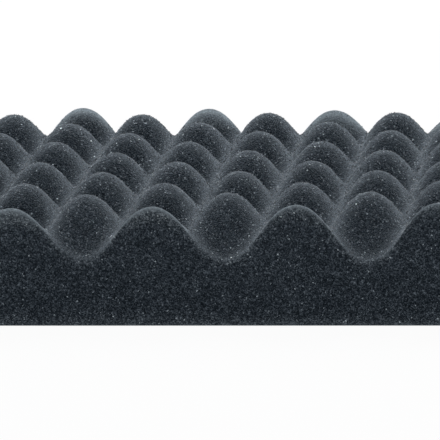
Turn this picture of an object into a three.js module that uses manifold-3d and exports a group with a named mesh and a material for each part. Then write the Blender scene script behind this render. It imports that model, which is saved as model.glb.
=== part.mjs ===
// Acoustic foam panel with an egg-crate face: one block of open-cell foam, in millimetres.
// The flat back lies on Z = 0 around the origin, the peaks point up, and the cut side that
// is nearest to the viewer faces -Y.
import * as THREE from 'three';
import { mergeVertices } from 'three/addons/utils/BufferGeometryUtils.js';
import Module from 'manifold-3d';

// Driving dimensions of the tile
const panelWidth = 300; // along X
const panelDepth = 300; // along Y
const panelThickness = 50; // from the flat back to the tips of the peaks
const reliefDepth = 24; // from the tips of the peaks to the bottoms of the valleys

// Driving dimensions of the egg-crate pattern: peaks stand on a checkerboard of half waves
const waveAcross = 57.5; // from a peak to the next peak of its own row
const waveAlong = 62; // from a row of peaks to the next row in line with it
const middlePeakAcross = -3.3; // place of the peak nearest the middle of the tile
const middlePeakAlong = 0.6;
const patternTurn = THREE.MathUtils.degToRad(1.5); // the knife cut the tile a little out of line
const fullnessShare = 0.13; // how much rounder peaks and valleys are than a plain cosine

// Making of the sheet that the tile is cut from
const stepsPerHalfWave = 6;
const cutOverrun = 10; // how far sheet and knife run past what they cut

const foam = new THREE.MeshStandardMaterial({ color: 0x2d3238, roughness: 1, metalness: 0 });

const wasm = await Module();
wasm.setup();

// Height of the convoluted face over a point given from the middle peak. One cut between
// the rollers parts two slabs that fit into each other, so a valley is a peak upside down.
function faceHeight(across, along) {
  const waveX = Math.cos((2 * Math.PI * across) / waveAcross);
  const waveY = Math.cos((2 * Math.PI * along) / waveAlong);
  const wave = waveX * waveY;
  const fullWave = (1 + fullnessShare) * wave - fullnessShare * wave ** 3;
  return panelThickness - (reliefDepth * (1 - fullWave)) / 2;
}

// Half waves on each side of the middle peak that cover the tile, however it is turned
function halfWavesPerSide(panelSize, middlePeak, wave) {
  const turnedAllowance = Math.max(panelWidth, panelDepth) * Math.abs(Math.sin(patternTurn));
  const reach = panelSize / 2 + Math.abs(middlePeak) + turnedAllowance + cutOverrun;
  return Math.ceil((2 * reach) / wave);
}

// Convoluted sheet, larger than the tile all round and below: a block whose upper side
// follows the wave
function convolutedSheet() {
  const halfWavesX = 2 * halfWavesPerSide(panelWidth, middlePeakAcross, waveAcross);
  const halfWavesY = 2 * halfWavesPerSide(panelDepth, middlePeakAlong, waveAlong);
  const sheet = new THREE.BoxGeometry(
    (halfWavesX * waveAcross) / 2,
    (halfWavesY * waveAlong) / 2,
    panelThickness + cutOverrun,
    halfWavesX * stepsPerHalfWave,
    halfWavesY * stepsPerHalfWave,
    1
  );
  sheet.translate(0, 0, (panelThickness - cutOverrun) / 2);
  const points = sheet.attributes.position;
  for (let index = 0; index < points.count; index += 1) {
    if (points.getZ(index) > 0) {
      points.setZ(index, faceHeight(points.getX(index), points.getY(index)));
    }
  }
  sheet.rotateZ(patternTurn);
  sheet.translate(middlePeakAcross, middlePeakAlong, 0);
  return sheet;
}

// Block that leaves the tile of the sheet: its underside cuts the flat back, its sides
// cut the four edges and its top stands clear of the peaks
function tileCutter() {
  const height = panelThickness + cutOverrun;
  const cutter = new THREE.BoxGeometry(panelWidth, panelDepth, height);
  cutter.translate(0, 0, height / 2);
  return cutter;
}

function solidFrom(geometry) {
  geometry.deleteAttribute('normal');
  geometry.deleteAttribute('uv');
  const merged = mergeVertices(geometry);
  const vertProperties = new Float32Array(merged.attributes.position.array);
  const triVerts = new Uint32Array(merged.index.array);
  return new wasm.Manifold(new wasm.Mesh({ numProp: 3, vertProperties, triVerts }));
}

function geometryFrom(solid) {
  const { vertProperties, triVerts } = solid.getMesh();
  const geometry = new THREE.BufferGeometry();
  geometry.setAttribute('position', new THREE.BufferAttribute(vertProperties, 3));
  geometry.setIndex(new THREE.BufferAttribute(triVerts, 1));
  geometry.computeVertexNormals();
  return geometry;
}

function makeFoamPanel() {
  const tile = solidFrom(convolutedSheet()).intersect(solidFrom(tileCutter()));
  const mesh = new THREE.Mesh(geometryFrom(tile), foam);
  mesh.name = 'foam_panel';
  return mesh;
}

const panel = new THREE.Group();
panel.name = 'acoustic_foam_panel';
panel.add(makeFoamPanel());

export default panel;
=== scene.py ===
# Looks of the acoustic foam panel: one piece of dark foam with an egg-crate face, built
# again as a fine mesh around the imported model, with its light, floor and camera.
import math
from typing import NamedTuple

import bpy
import numpy as np
from mathutils import Matrix, Vector


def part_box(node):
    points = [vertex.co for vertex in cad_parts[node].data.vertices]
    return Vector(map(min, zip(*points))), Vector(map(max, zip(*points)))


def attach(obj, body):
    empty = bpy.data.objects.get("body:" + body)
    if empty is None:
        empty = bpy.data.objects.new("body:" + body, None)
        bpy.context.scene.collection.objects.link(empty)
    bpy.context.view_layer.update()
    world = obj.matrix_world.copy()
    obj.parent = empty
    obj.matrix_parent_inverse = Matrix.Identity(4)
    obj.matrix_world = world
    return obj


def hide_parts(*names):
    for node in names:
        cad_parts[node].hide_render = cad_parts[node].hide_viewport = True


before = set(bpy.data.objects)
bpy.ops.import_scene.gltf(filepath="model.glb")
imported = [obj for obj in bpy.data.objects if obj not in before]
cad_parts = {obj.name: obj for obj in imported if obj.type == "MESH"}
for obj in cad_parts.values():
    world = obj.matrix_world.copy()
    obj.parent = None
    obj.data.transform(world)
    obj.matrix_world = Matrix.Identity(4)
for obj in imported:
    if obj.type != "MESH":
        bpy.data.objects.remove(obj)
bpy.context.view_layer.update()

MM = 0.001

# The tile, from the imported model
NODE = "foam_panel"
tile_low, tile_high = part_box(NODE)
HALF_WIDTH = (tile_high.x - tile_low.x) / 2
HALF_DEPTH = (tile_high.y - tile_low.y) / 2
THICKNESS = tile_high.z - tile_low.z

# The egg-crate pattern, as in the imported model
WAVE_ACROSS = 57.5 * MM
WAVE_ALONG = 62 * MM
MIDDLE_PEAK_ACROSS = -3.3 * MM
MIDDLE_PEAK_ALONG = 0.6 * MM
PATTERN_TURN = math.radians(1.5)
RELIEF_DEPTH = 24 * MM
FULLNESS = 0.13  # makes peaks and valleys fuller than plain cosines


class Stray(NamedTuple):
    """Smooth random unevenness: how far it goes, over what length, and out of how many waves."""

    reach: float
    length: float
    seed: int
    waves: int = 7


# The unevenness of soft foam. Of many seeds tried, the first three put the peaks and the
# front cut nearest to where the photograph has them
PEAK_STRAY = Stray(reach=0.35 * MM, length=90 * MM, seed=1128)
ACROSS_STRAY = Stray(reach=0.45 * MM, length=110 * MM, seed=13151)
ALONG_STRAY = Stray(reach=0.45 * MM, length=110 * MM, seed=5921)
SKIN_STRAY = Stray(reach=0.035 * MM, length=4.5 * MM, seed=4, waves=24)
CUT_STRAY = Stray(reach=0.16 * MM, length=34 * MM, seed=5)
WAVE_STRETCH = (0.7, 1.5)  # shortest and longest of the waves, against their length

# Fineness of the mesh
FACE_STEPS = 200  # along each side
BACK_STEPS = FACE_STEPS // 4
RIM_RADIUS = 0.8 * MM
FOOT_RADIUS = 0.7 * MM
ROUNDING_STEPS = 3
WALL_ROWS = 8
UNDER_RIM = (0.7 * MM, 1.8 * MM)  # extra rows of points on the cut sides, under the rim
OVER_FOOT = (4.2 * MM, 2.6 * MM, 1.3 * MM)  # and over the foot
HALF_RING_INSET = 4 * MM  # where the back has a ring of half as many points as the foot
BACK_GRID_INSET = 9 * MM  # where its grid begins, with a quarter as many

# How far the painted light along the edges reaches into the foam: a painted highlight along the
# rim and a painted glow of bounced floor light at the foot. They fade by a factor of e over each
# reach
RIM_REACH = 1.1 * MM
FOOT_REACH = 1.6 * MM
FOOT_SHARE = 0.9  # of the rim's painted highlight, for the painted glow at the foot
CUT_THIN_REACH = 2.0 * MM  # for the painted light that stands for light coming through thin foam and out of a cut side
FACE_THIN_REACH = 3.4 * MM  # for the painted light that comes out of the face
CUT_SHARE = 0.55  # how strong that light is on the cut side, against the face
FULL_FALL = 0.4  # slope of the face behind the cut from which all of that light shows
LEAST_FALL = 0.01  # the least slope that is reckoned with
FALL_STEP = 3 * MM  # over which the slope is taken

# The nap: free ends of cut struts, as little fins that stand on the face
NAP_COUNT = 72000
NAP_SEED = 6
NAP_HALF_WIDTH = (0.15 * MM, 0.35 * MM)
NAP_HEIGHT = (0.12 * MM, 0.36 * MM)
NAP_LEAN = 0.6  # of the height
PALENESS_SEED = 7
PALENESS_POWER = 2  # the higher, the fewer fins carry a pale painted glint

# The flat map of the tile: its face takes most, its cut sides the strips beside it, and
# the corner between the strips holds its back and a row for the nap
MAP_FACE = 0.76
MAP_STRIP = (1 - MAP_FACE) / 2
MAP_NAP_ROW = MAP_STRIP / 4
MAP_GAP = 0.004
MAP_FIN = 0.08  # part of the row's length that one fin takes
FIN_ACROSS = (0, 1, 0)  # where a fin's left and right corner and its tip lie on that part
FIN_UP = (0, 0, 1)
FACE_ISLAND, FRONT_ISLAND, RIGHT_ISLAND, REAR_ISLAND, LEFT_ISLAND, BACK_ISLAND = range(6)
NAP_ISLAND = 6


def stray_at(x, y, stray):
    """How far a stray goes at each point: a few crossing waves, mostly within its reach."""
    draw = np.random.default_rng(stray.seed)
    total = np.zeros_like(x)
    for _ in range(stray.waves):
        heading = draw.uniform(0, math.tau)
        stretch = draw.uniform(*WAVE_STRETCH)
        start = draw.uniform(0, math.tau)
        along = x * math.cos(heading) + y * math.sin(heading)
        total += np.sin(math.tau * along / (stray.length * stretch) + start)
    return stray.reach * (total / math.sqrt(2 * stray.waves))


def face_height(x, y):
    """Height of the egg-crate face over the back, with the foam's own unevenness."""
    x_off = x - MIDDLE_PEAK_ACROSS
    y_off = y - MIDDLE_PEAK_ALONG
    across = x_off * math.cos(PATTERN_TURN) + y_off * math.sin(PATTERN_TURN)
    along = y_off * math.cos(PATTERN_TURN) - x_off * math.sin(PATTERN_TURN)
    across = across + stray_at(x, y, ACROSS_STRAY)
    along = along + stray_at(x, y, ALONG_STRAY)
    wave = np.cos(math.tau * across / WAVE_ACROSS) * np.cos(math.tau * along / WAVE_ALONG)
    wave = (1 + FULLNESS) * wave - FULLNESS * wave**3
    height = THICKNESS - RELIEF_DEPTH * (1 - wave) / 2
    return height + stray_at(x, y, PEAK_STRAY) + stray_at(x, y, SKIN_STRAY)


def even_grid(half_width, half_depth, steps):
    """The x and y of a grid of points over the tile."""
    return np.meshgrid(
        np.linspace(-half_width, half_width, steps + 1),
        np.linspace(-half_depth, half_depth, steps + 1),
    )


def border(grid):
    """The border of a grid, counter-clockwise from above, starting at its first point."""
    return np.concatenate([grid[0, :-1], grid[:-1, -1], grid[-1, :0:-1], grid[:0:-1, 0]])


def drawn_in(x, y, inset):
    """Points of the tile's outline moved inwards by inset."""
    return x * (1 - inset / HALF_WIDTH), y * (1 - inset / HALF_DEPTH)


def rim_rings(x, y):
    """Rings that round the upper edge off, from the face to the cut side."""
    for turn in np.linspace(0, math.pi / 2, ROUNDING_STEPS + 1)[1:]:
        ring_x, ring_y = drawn_in(x, y, RIM_RADIUS * (1 - math.sin(turn)))
        yield ring_x, ring_y, face_height(ring_x, ring_y) - RIM_RADIUS * (1 - math.cos(turn))


def wall_rings(x, y):
    """Rings down the cut sides, with the slight waves that the knife leaves."""
    top = face_height(x, y) - RIM_RADIUS
    levels = [top - drop for drop in UNDER_RIM]
    highest, lowest = levels[-1], FOOT_RADIUS + OVER_FOOT[0]
    for share in np.linspace(0, 1, WALL_ROWS + 2)[1:-1]:
        levels.append(highest + (lowest - highest) * share)
    levels += [np.full_like(x, FOOT_RADIUS + rise) for rise in OVER_FOOT]
    along_side = x - y
    for z in levels:
        ring_x, ring_y = drawn_in(x, y, stray_at(along_side, z, CUT_STRAY))
        yield ring_x, ring_y, z


def foot_rings(x, y):
    """Rings that round the lower edge off, from the cut side to the back."""
    for turn in np.linspace(0, math.pi / 2, ROUNDING_STEPS + 1):
        ring_x, ring_y = drawn_in(x, y, FOOT_RADIUS * (1 - math.cos(turn)))
        yield ring_x, ring_y, np.full_like(x, FOOT_RADIUS * (1 - math.sin(turn)))


class MeshParts:
    """Points and faces of a mesh in the making."""

    def __init__(self):
        self.points = []
        self.faces = []
        self.islands = []
        self.count = 0

    def add_points(self, x, y, z):
        """Adds points, and returns their numbers in the shape that x has."""
        self.points.append(np.stack([x.ravel(), y.ravel(), z.ravel()], axis=1))
        numbers = np.arange(self.count, self.count + x.size).reshape(x.shape)
        self.count += x.size
        return numbers

    def add_faces(self, corners, islands):
        """Adds faces, given as one array of point numbers for each of their corners."""
        faces = np.stack([numbers.ravel() for numbers in corners], axis=1)
        self.faces += faces.tolist()
        self.islands += np.broadcast_to(islands, len(faces)).tolist()

    def add_grid_faces(self, grid, island):
        """Covers a grid of points with quads that face up."""
        self.add_faces([grid[:-1, :-1], grid[:-1, 1:], grid[1:, 1:], grid[1:, :-1]], island)

    def join_rings(self, upper, lower, islands):
        """Quads between two rings of as many points each."""
        corners = [lower, np.roll(lower, -1), np.roll(upper, -1), upper]
        self.add_faces(corners, islands)

    def join_halved(self, upper, lower, islands):
        """Triangles between a ring and one of half its points."""
        first, middle, last = upper[0::2], upper[1::2], np.roll(upper[0::2], -1)
        after = np.roll(lower, -1)
        self.add_faces([lower, middle, first], islands)
        self.add_faces([lower, after, middle], islands)
        self.add_faces([after, last, middle], islands)


def add_sides(parts, outline, upper):
    """Closes the tile around, down from the border of its face, and returns its foot."""
    sides = np.repeat([FRONT_ISLAND, RIGHT_ISLAND, REAR_ISLAND, LEFT_ISLAND], FACE_STEPS)
    for make_rings, islands in (
        (rim_rings, FACE_ISLAND),
        (wall_rings, sides),
        (foot_rings, sides),
    ):
        for ring in make_rings(*outline):
            lower = parts.add_points(*ring)
            parts.join_rings(upper, lower, islands)
            upper = lower
    return upper


def add_back(parts, outline, foot):
    """Closes the tile's back, which is flat and so needs fewer points than its foot has."""
    half_x, half_y = drawn_in(outline[0][::2], outline[1][::2], HALF_RING_INSET)
    half = parts.add_points(half_x, half_y, np.zeros_like(half_x))
    parts.join_halved(foot, half, BACK_ISLAND)
    x, y = even_grid(HALF_WIDTH - BACK_GRID_INSET, HALF_DEPTH - BACK_GRID_INSET, BACK_STEPS)
    grid = parts.add_points(x, y, np.zeros_like(x))
    parts.join_halved(half, border(grid), BACK_ISLAND)
    parts.add_grid_faces(grid[::-1], BACK_ISLAND)


def foam_parts():
    """The tile's closed mesh: face, rounded rim, cut sides, rounded foot and back."""
    parts = MeshParts()
    x, y = even_grid(HALF_WIDTH - RIM_RADIUS, HALF_DEPTH - RIM_RADIUS, FACE_STEPS)
    grid = parts.add_points(x, y, face_height(x, y))
    parts.add_grid_faces(grid, FACE_ISLAND)
    outline = [border(axis) for axis in even_grid(HALF_WIDTH, HALF_DEPTH, FACE_STEPS)]
    foot = add_sides(parts, outline, border(grid))
    add_back(parts, outline, foot)
    return parts


def face_normal(x, y, step):
    """The direction square to the face, judged over a step to each side."""
    slope_x = (face_height(x + step, y) - face_height(x - step, y)) / (2 * step)
    slope_y = (face_height(x, y + step) - face_height(x, y - step)) / (2 * step)
    out = np.stack([-slope_x, -slope_y, np.ones_like(x)])
    return out / np.linalg.norm(out, axis=0)


def add_nap(parts):
    """Stands little fins on the face, square to it but for a lean of their own."""
    draw = np.random.default_rng(NAP_SEED)
    x = draw.uniform(-1, 1, NAP_COUNT) * (HALF_WIDTH - RIM_RADIUS)
    y = draw.uniform(-1, 1, NAP_COUNT) * (HALF_DEPTH - RIM_RADIUS)
    heading = draw.uniform(0, math.tau, NAP_COUNT)
    half_width = draw.uniform(*NAP_HALF_WIDTH, NAP_COUNT)
    height = draw.uniform(*NAP_HEIGHT, NAP_COUNT)
    step_x, step_y = half_width * np.cos(heading), half_width * np.sin(heading)
    left = parts.add_points(x - step_x, y - step_y, face_height(x - step_x, y - step_y))
    right = parts.add_points(x + step_x, y + step_y, face_height(x + step_x, y + step_y))
    out = face_normal(x, y, height)
    out = out + NAP_LEAN * draw.uniform(-1, 1, out.shape)
    foot = face_height(x, y)
    tip = parts.add_points(x + height * out[0], y + height * out[1], foot + height * out[2])
    parts.add_faces([left, right, tip], NAP_ISLAND)


def nap_paleness():
    """How much painted glint each fin carries, from 0 to 1: few are much paler than the foam."""
    return np.random.default_rng(PALENESS_SEED).uniform(0, 1, NAP_COUNT) ** PALENESS_POWER


def map_place(island):
    """Left, bottom, width and height of an island of the flat map."""
    long, short = MAP_FACE - 2 * MAP_GAP, MAP_STRIP - 2 * MAP_GAP
    first = MAP_FACE + MAP_GAP
    second = first + MAP_STRIP
    rest = 1 - MAP_FACE - 2 * MAP_GAP
    return {
        FACE_ISLAND: (MAP_GAP, MAP_GAP, long, long),
        FRONT_ISLAND: (MAP_GAP, first, long, short),
        REAR_ISLAND: (MAP_GAP, second, long, short),
        RIGHT_ISLAND: (first, MAP_GAP, short, long),
        LEFT_ISLAND: (second, MAP_GAP, short, long),
        BACK_ISLAND: (first, first, rest, rest - 2 * MAP_NAP_ROW),
        NAP_ISLAND: (first, 1 - MAP_NAP_ROW, rest, MAP_NAP_ROW - MAP_GAP),
    }[island]


def nap_places():
    """Places of the fins' corners on the flat map, where equally pale fins share a place."""
    left, bottom, width, height = map_place(NAP_ISLAND)
    across = nap_paleness()[:, None] * (1 - MAP_FIN) + np.array(FIN_ACROSS) * MAP_FIN
    up = np.broadcast_to(FIN_UP, across.shape)
    return np.stack([(left + across * width).ravel(), (bottom + up * height).ravel()], axis=1)


def flat_places(points, islands):
    """Places on the flat map of corners, from their points and their faces' islands."""
    across = np.clip((points[:, 0] + HALF_WIDTH) / (2 * HALF_WIDTH), 0, 1)
    along = np.clip((points[:, 1] + HALF_DEPTH) / (2 * HALF_DEPTH), 0, 1)
    highest = THICKNESS + RIM_RADIUS  # some peaks stray above the thickness
    up = np.clip(points[:, 2] / highest, 0, 1)
    seen = {
        FACE_ISLAND: (across, along),
        FRONT_ISLAND: (across, up),
        REAR_ISLAND: (across, up),
        RIGHT_ISLAND: (up, along),
        LEFT_ISLAND: (up, along),
        BACK_ISLAND: (across, along),
    }
    places = np.zeros((len(points), 2))
    for island, (over, rise) in seen.items():
        left, bottom, width, height = map_place(island)
        mine = islands == island
        places[mine, 0] = left + over[mine] * width
        places[mine, 1] = bottom + rise[mine] * height
    places[islands == NAP_ISLAND] = nap_places()
    return places


def nearest_cut(x, y):
    """The nearest points on a cut side, and the way inwards from there."""
    is_end = HALF_WIDTH - np.abs(x) < HALF_DEPTH - np.abs(y)
    cut_x = np.where(is_end, np.sign(x) * HALF_WIDTH, x)
    cut_y = np.where(is_end, y, np.sign(y) * HALF_DEPTH)
    inward_x = np.where(is_end, -np.sign(x), 0)
    inward_y = np.where(is_end, 0, -np.sign(y))
    return cut_x, cut_y, inward_x, inward_y


def light_through(x, y, z, inset):
    """How much painted light, standing for light that comes through thin foam, shows where the
    face falls away behind a cut side.
    """
    cut_x, cut_y, inward_x, inward_y = nearest_cut(x, y)
    cut_z = face_height(cut_x, cut_y)
    inner_z = face_height(cut_x + inward_x * FALL_STEP, cut_y + inward_y * FALL_STEP)
    fall = np.clip((cut_z - inner_z) / FALL_STEP, LEAST_FALL, None)
    thickness = np.maximum((cut_z - z) / fall, inset)
    through_cut = CUT_SHARE * np.exp(-thickness / CUT_THIN_REACH)
    through_face = np.exp(-thickness / FACE_THIN_REACH)
    behind_rim = np.clip(inset / RIM_RADIUS - 1, 0, 1)
    through = through_cut + (through_face - through_cut) * behind_rim
    return np.clip(fall / FULL_FALL, 0, 1) * through


def add_shares(mesh, points):
    """Gives each point its shares of painted edge light (a highlight along the rim and a glow at
    the foot), of painted light through thin foam, and of the nap's painted glints.
    """
    x, y, z = points.T
    inset = np.maximum(np.minimum(HALF_WIDTH - np.abs(x), HALF_DEPTH - np.abs(y)), 0)
    from_rim = inset + np.maximum(face_height(x, y) - z, 0)
    from_foot = inset + z
    fin_corners = np.tile(nap_paleness(), len(FIN_UP))
    other_points = np.zeros(len(points) - len(fin_corners))
    shares = {
        "edge": np.exp(-from_rim / RIM_REACH) + FOOT_SHARE * np.exp(-from_foot / FOOT_REACH),
        "thin": light_through(x, y, z, inset),
        "nap": np.concatenate([other_points, fin_corners]),
    }
    for name, values in shares.items():
        share = mesh.attributes.new(name, "FLOAT", "POINT")
        share.data.foreach_set("value", values)


def add_flat_map(mesh, points, faces, islands):
    """Lays the mesh's faces out on the flat map."""
    corners = np.zeros(len(mesh.loops), dtype=int)
    mesh.loops.foreach_get("vertex_index", corners)
    corner_islands = np.repeat(islands, [len(face) for face in faces])
    flat = mesh.uv_layers.new(name="OFBake")
    flat.data.foreach_set("uv", flat_places(points[corners], corner_islands).ravel())


def make_foam():
    """Makes the visual tile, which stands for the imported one."""
    parts = foam_parts()
    add_nap(parts)
    points = np.concatenate(parts.points)
    islands = np.array(parts.islands)
    is_nap = islands == NAP_ISLAND
    mesh = bpy.data.meshes.new("foam_tile")
    mesh.from_pydata(points.tolist(), [], parts.faces)
    mesh.polygons.foreach_set("use_smooth", ~is_nap)
    mesh.polygons.foreach_set("material_index", is_nap.astype(int))
    add_shares(mesh, points)
    add_flat_map(mesh, points, parts.faces, islands)
    mesh.materials.append(foam_material())
    mesh.materials.append(strut_material())
    foam = bpy.data.objects.new("foam_tile", mesh)
    bpy.context.scene.collection.objects.link(foam)
    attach(foam, "root")
    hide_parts(NODE)


# Shader nodes


def feed(tree, socket, value):
    """Links a socket to value if that is a socket too, and sets it to value if not."""
    if isinstance(value, bpy.types.NodeSocket):
        tree.links.new(value, socket)
    else:
        socket.default_value = value


def feed_inputs(tree, node, **inputs):
    """Feeds inputs of a node, named with underscores for spaces."""
    for name, value in inputs.items():
        feed(tree, node.inputs[name.replace("_", " ")], value)


def add_node(tree, kind, **inputs):
    """Adds a shader node and feeds its inputs."""
    node = tree.nodes.new(kind)
    feed_inputs(tree, node, **inputs)
    return node


def add_math(tree, operation, *values):
    """Adds a math node of up to three values, each a number or a socket."""
    node = tree.nodes.new("ShaderNodeMath")
    node.operation = operation
    for socket, value in zip(node.inputs, values):
        feed(tree, socket, value)
    return node.outputs["Value"]


def add_step(tree, value, low, high):
    """Adds a smooth step of value, from 0 at low to 1 at high."""
    node = add_node(tree, "ShaderNodeMapRange", Value=value, From_Min=low, From_Max=high)
    node.interpolation_type = "SMOOTHSTEP"
    return node.outputs["Result"]


def add_chosen(tree, draw, share):
    """Adds a choice: about 1 in that share of the cells whose draw is highest, 0 in the rest."""
    return add_step(tree, draw, 1 - share, 1 - share / 2)


def color_sockets(sockets):
    """Those sockets of a mix node that hold colours; others of the same names hold numbers."""
    return [socket for socket in sockets if socket.type == "RGBA"]


def add_color_mix(tree, share, first, second):
    """Adds a mix of two colours, each a colour or a socket."""
    node = tree.nodes.new("ShaderNodeMix")
    node.data_type = "RGBA"
    feed(tree, node.inputs["Factor"], share)
    for socket, color in zip(color_sockets(node.inputs), (first, second)):
        feed(tree, socket, color)
    return color_sockets(node.outputs)[0]


def add_share(tree, name):
    """Adds a read-out of one of the mesh's own shares."""
    node = tree.nodes.new("ShaderNodeAttribute")
    node.attribute_name = name
    return node.outputs["Fac"]


def new_material(name):
    """A material that is made of nodes, and its node tree."""
    material = bpy.data.materials.new(name)
    material.use_nodes = True
    return material, material.node_tree


# The foam's grain, with painted glints and painted shade on its upward-facing face. It counts in
# powers of e, so what adds to it multiplies the colour
CELL_SIZE = 0.45 * MM
LARGE_CELL_SIZE = 1.1 * MM
MOTTLE_SIZE = 9 * MM
MOTTLE_DETAIL = 3
STRUT_BAND = (0.1, 0.75)  # where struts begin and are full, in cells from a pore's middle
STRUT_GRAIN = 1.6  # from the middle of a pore to the struts around it
CELL_GRAIN = 2.35  # from the darkest to the lightest cells
LARGE_CELL_GRAIN = 0.7
MOTTLE_GRAIN = 0.6
GLINT_GRAIN = 1.6  # of the few cells with a painted glint
GLINT_SHARE = 0.02  # of all cells
FACE_GLINT_GRAIN = 2.5  # of further painted glints on the upward-facing egg-crate face alone
FACE_GLINT_SHARE = 0.065
PAINTED_UPWARD_SHADE = -0.19  # painted shade that darkens the upward-facing egg-crate face against the cut sides
FACE_UPRIGHT = (0.3, 0.9)  # upward part of the normal where those two begin and are full
MEAN_SHARE = 0.5  # of a pattern between 0 and 1

# What is left of the grain and painted glints under the painted light of the cut edges and of
# thin foam
EDGE_CALM = 0.5  # how much of it the cut edges lose
THIN_CALM = 3.5
LEAST_CALM = 0.2
GRAIN_SHARES = (1.03, 1.0, 0.955)  # of it in red, green and blue: dark cells are bluer

# The foam's colours and surface
FOAM_COLOR = (0.0248, 0.0304, 0.0376, 1)
# painted highlight along the rim and painted glow at the foot
PAINTED_EDGE_LIGHT_COLOR = (0.113, 0.1315, 0.15, 1)
# painted light that shines through thin foam from behind
PAINTED_THROUGH_LIGHT_COLOR = (0.81, 0.93, 1.0, 1)
FOAM_ROUGHNESS = 0.95
FOAM_SPECULAR = 0.15
GLOSS_COLOR = (0.3, 0.7, 1.0, 1)
SHEEN_WEIGHT = 0.86
SHEEN_ROUGHNESS = 0.28
SHEEN_COLOR = (0.8, 0.91, 1.0, 1)
BUMP_STRENGTH = 0.75
BUMP_HEIGHT = 0.2 * MM
# painted glints on the fins
PAINTED_NAP_GLINT_COLOR = (0.9, 0.95, 1.0, 1)
NAP_ROUGHNESS = 0.35
NAP_SPECULAR = 0.5


def add_grain_and_painted_light(tree):
    """Adds the foam's grain: struts, uneven cells, mottle, painted glints and painted shade on
    the upward-facing face.
    """
    spot = tree.nodes.new("ShaderNodeTexCoord")
    place = spot.outputs["Object"]
    cells = add_node(tree, "ShaderNodeTexVoronoi", Vector=place, Scale=1 / CELL_SIZE)
    large_cells = add_node(tree, "ShaderNodeTexVoronoi", Vector=place, Scale=1 / LARGE_CELL_SIZE)
    mottle = add_node(
        tree, "ShaderNodeTexNoise", Vector=place, Scale=1 / MOTTLE_SIZE, Detail=MOTTLE_DETAIL
    )
    draw = add_node(tree, "ShaderNodeSeparateColor", Color=cells.outputs["Color"])
    large_draw = add_node(tree, "ShaderNodeSeparateColor", Color=large_cells.outputs["Color"])
    normal = add_node(tree, "ShaderNodeSeparateXYZ", Vector=spot.outputs["Normal"])

    strut = add_step(tree, cells.outputs["Distance"], *STRUT_BAND)
    grain_and_painted_light = 0.0
    for share, strength in (
        (strut, STRUT_GRAIN),
        (draw.outputs["Red"], CELL_GRAIN),
        (large_draw.outputs["Red"], LARGE_CELL_GRAIN),
        (mottle.outputs["Fac"], MOTTLE_GRAIN),
    ):
        centred = add_math(tree, "SUBTRACT", share, MEAN_SHARE)
        grain_and_painted_light = add_math(tree, "MULTIPLY_ADD", centred, strength, grain_and_painted_light)

    # painted glints: cells made paler as if they caught the light
    glint = add_chosen(tree, draw.outputs["Green"], GLINT_SHARE)
    on_face = add_step(tree, normal.outputs["Z"], *FACE_UPRIGHT)
    face_glint = add_chosen(tree, draw.outputs["Blue"], FACE_GLINT_SHARE)
    face_glint = add_math(tree, "MULTIPLY", face_glint, on_face)
    # painted glints, and painted shade on the upward-facing face
    for share, strength in (
        (glint, GLINT_GRAIN),
        (on_face, PAINTED_UPWARD_SHADE),
        (face_glint, FACE_GLINT_GRAIN),
    ):
        grain_and_painted_light = add_math(tree, "MULTIPLY_ADD", share, strength, grain_and_painted_light)
    return grain_and_painted_light


def add_calm(tree, edge, thin):
    """Adds what is left of the grain and painted glints, from the shares of painted edge light
    and of painted light through thin foam.
    """
    calm = add_math(tree, "MULTIPLY_ADD", edge, -EDGE_CALM, 1.0)
    calm = add_math(tree, "MULTIPLY_ADD", thin, -THIN_CALM, calm)
    return add_math(tree, "MAXIMUM", calm, LEAST_CALM)


def add_foam_color(tree, grain_and_painted_light):
    """Adds the foam's colour: dark, with painted light along its edges and where thin foam lets
    light through, and uneven by its grain, painted glints and painted shade.
    """
    edge = add_share(tree, "edge")
    thin = add_share(tree, "thin")
    # painted highlight along the rim and painted glow at the foot, then painted light through
    # thin foam
    plain = add_color_mix(tree, edge, FOAM_COLOR, PAINTED_EDGE_LIGHT_COLOR)
    plain = add_color_mix(tree, thin, plain, PAINTED_THROUGH_LIGHT_COLOR)
    calm_grain_and_light = add_math(tree, "MULTIPLY", grain_and_painted_light, add_calm(tree, edge, thin))
    factor = tree.nodes.new("ShaderNodeCombineColor")
    for socket, share in zip(factor.inputs, GRAIN_SHARES):
        power = add_math(tree, "MULTIPLY", calm_grain_and_light, share)
        tree.links.new(add_math(tree, "EXPONENT", power), socket)
    color = tree.nodes.new("ShaderNodeVectorMath")
    color.operation = "MULTIPLY"
    tree.links.new(plain, color.inputs[0])
    tree.links.new(factor.outputs["Color"], color.inputs[1])
    return color.outputs["Vector"]


def foam_material():
    """Dark open-cell foam: pores and struts, painted light along cut edges and thin foam, a
    fuzzy sheen, painted shade on the upward face and rare painted glints.
    """
    material, tree = new_material("dark_open_cell_foam")
    grain_and_painted_light = add_grain_and_painted_light(tree)
    bump = add_node(
        tree, "ShaderNodeBump", Height=grain_and_painted_light, Strength=BUMP_STRENGTH, Distance=BUMP_HEIGHT
    )
    feed_inputs(
        tree,
        tree.nodes["Principled BSDF"],
        Base_Color=add_foam_color(tree, grain_and_painted_light),
        Normal=bump.outputs["Normal"],
        Roughness=FOAM_ROUGHNESS,
        Specular_IOR_Level=FOAM_SPECULAR,
        Specular_Tint=GLOSS_COLOR,
        Sheen_Weight=SHEEN_WEIGHT,
        Sheen_Roughness=SHEEN_ROUGHNESS,
        Sheen_Tint=SHEEN_COLOR,
    )
    return material


def strut_material():
    """Free ends of cut struts: smooth little fins, each with its own share of a pale painted
    glint.
    """
    material, tree = new_material("cut_struts")
    feed_inputs(
        tree,
        tree.nodes["Principled BSDF"],
        Base_Color=add_color_mix(tree, add_share(tree, "nap"), FOAM_COLOR, PAINTED_NAP_GLINT_COLOR),
        Roughness=NAP_ROUGHNESS,
        Specular_IOR_Level=NAP_SPECULAR,
    )
    return material


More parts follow.
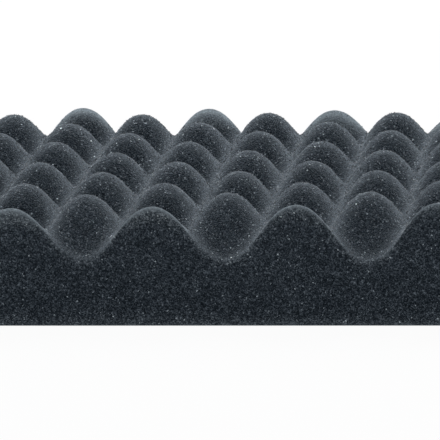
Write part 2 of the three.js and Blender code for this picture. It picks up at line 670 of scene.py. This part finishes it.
# Floor and light. Places and sizes are in metres, and power is in watts
FLOOR_SIZE = 60
FLOOR_COLOR = (0.86, 0.865, 0.87, 1)
FLOOR_GLOW_SHARE = 0.95  # how much of the seen floor is plain white
WHITE = (1, 1, 1, 1)
SKY_COLOR = (0.93, 0.96, 1, 1)
SKY_STRENGTH = 0.5
REAR_BOX_PLACE = (0.1, 1.6, 1.03)
REAR_BOX_SIZE = 1.6
REAR_BOX_POWER = 39


def seen_from_outside(tree):
    """1 for camera, glossy and transmission rays, which see the white studio."""
    path = tree.nodes.new("ShaderNodeLightPath")
    seen = path.outputs["Is Camera Ray"]
    for ray in ("Is Glossy Ray", "Is Transmission Ray"):
        seen = add_math(tree, "MAXIMUM", seen, path.outputs[ray])
    return seen


def floor_material():
    """A pale floor that is white where light falls and keeps a faint shadow."""
    material, tree = new_material("pale_floor")
    tree.nodes.clear()
    plain = add_node(tree, "ShaderNodeBsdfDiffuse", Color=FLOOR_COLOR)
    glow = add_node(tree, "ShaderNodeEmission", Color=WHITE, Strength=1.0)
    mix = tree.nodes.new("ShaderNodeMixShader")
    share = add_math(tree, "MULTIPLY", seen_from_outside(tree), FLOOR_GLOW_SHARE)
    sources = (share, plain.outputs["BSDF"], glow.outputs["Emission"])
    for socket, source in zip(mix.inputs, sources):
        tree.links.new(source, socket)
    add_node(tree, "ShaderNodeOutputMaterial", Surface=mix.outputs["Shader"])
    return material


def make_floor():
    """Makes a wide pale floor at the height of the tile's back."""
    mesh = bpy.data.meshes.new("floor")
    half = FLOOR_SIZE / 2
    corners = [(-half, -half, 0), (half, -half, 0), (half, half, 0), (-half, half, 0)]
    mesh.from_pydata(corners, [], [(0, 1, 2, 3)])
    mesh.materials.append(floor_material())
    floor = bpy.data.objects.new("floor", mesh)
    bpy.context.scene.collection.objects.link(floor)


def light_world():
    """Makes a soft sky, which fills the shadows and is white to the camera."""
    world = bpy.data.worlds.new("studio")
    bpy.context.scene.world = world
    world.use_nodes = True
    tree = world.node_tree
    seen = seen_from_outside(tree)
    added = add_math(tree, "MULTIPLY", seen, 1 - SKY_STRENGTH)
    feed_inputs(
        tree,
        tree.nodes["Background"],
        Color=add_color_mix(tree, seen, SKY_COLOR, WHITE),
        Strength=add_math(tree, "ADD", SKY_STRENGTH, added),
    )


def add_soft_box(name, place, size, power):
    """Adds a square soft box that faces the tile."""
    light = bpy.data.lights.new(name, "AREA")
    light.shape = "SQUARE"
    light.size = size
    light.energy = power
    lamp = bpy.data.objects.new(name, light)
    lamp.location = place
    lamp.rotation_mode = "QUATERNION"
    lamp.rotation_quaternion = (-Vector(place)).to_track_quat("-Z", "Y")
    bpy.context.scene.collection.objects.link(lamp)


# The photograph's view, fitted to the tips of the peaks
PHOTO_SIDE = 440  # pixels
FOCAL_PIXELS = 5608
SENSOR_WIDTH = 36  # millimetres, as the camera's lens is too
CAMERA_YAW = math.radians(-5.93)  # from +Y, towards +X
CAMERA_PITCH = math.radians(-8.57)
CAMERA_ROLL = math.radians(-1.01)
CAMERA_DISTANCE = 2249 * MM
CAMERA_TARGET = Vector((-0.7 * MM, -HALF_DEPTH, 43.1 * MM))  # on the front cut's plane


def make_camera():
    """Makes the camera, at the photograph's viewing angle."""
    forward = Vector((
        math.sin(CAMERA_YAW) * math.cos(CAMERA_PITCH),
        math.cos(CAMERA_YAW) * math.cos(CAMERA_PITCH),
        math.sin(CAMERA_PITCH),
    ))
    level = Vector((math.cos(CAMERA_YAW), -math.sin(CAMERA_YAW), 0))
    upright = level.cross(forward)
    right = level * math.cos(CAMERA_ROLL) + upright * math.sin(CAMERA_ROLL)
    up = upright * math.cos(CAMERA_ROLL) - level * math.sin(CAMERA_ROLL)
    turn = Matrix((right, up, -forward)).transposed()
    place = CAMERA_TARGET - forward * CAMERA_DISTANCE

    data = bpy.data.cameras.new("camera")
    data.sensor_width = SENSOR_WIDTH
    data.lens = SENSOR_WIDTH * FOCAL_PIXELS / PHOTO_SIDE
    data.clip_end = 2 * FLOOR_SIZE
    camera = bpy.data.objects.new("camera", data)
    camera.matrix_world = Matrix.Translation(place) @ turn.to_4x4()
    bpy.context.scene.collection.objects.link(camera)
    bpy.context.scene.camera = camera


make_foam()
make_floor()
light_world()
add_soft_box("rear_box", REAR_BOX_PLACE, REAR_BOX_SIZE, REAR_BOX_POWER)
make_camera()
bpy.context.scene.view_settings.view_transform = "Standard"
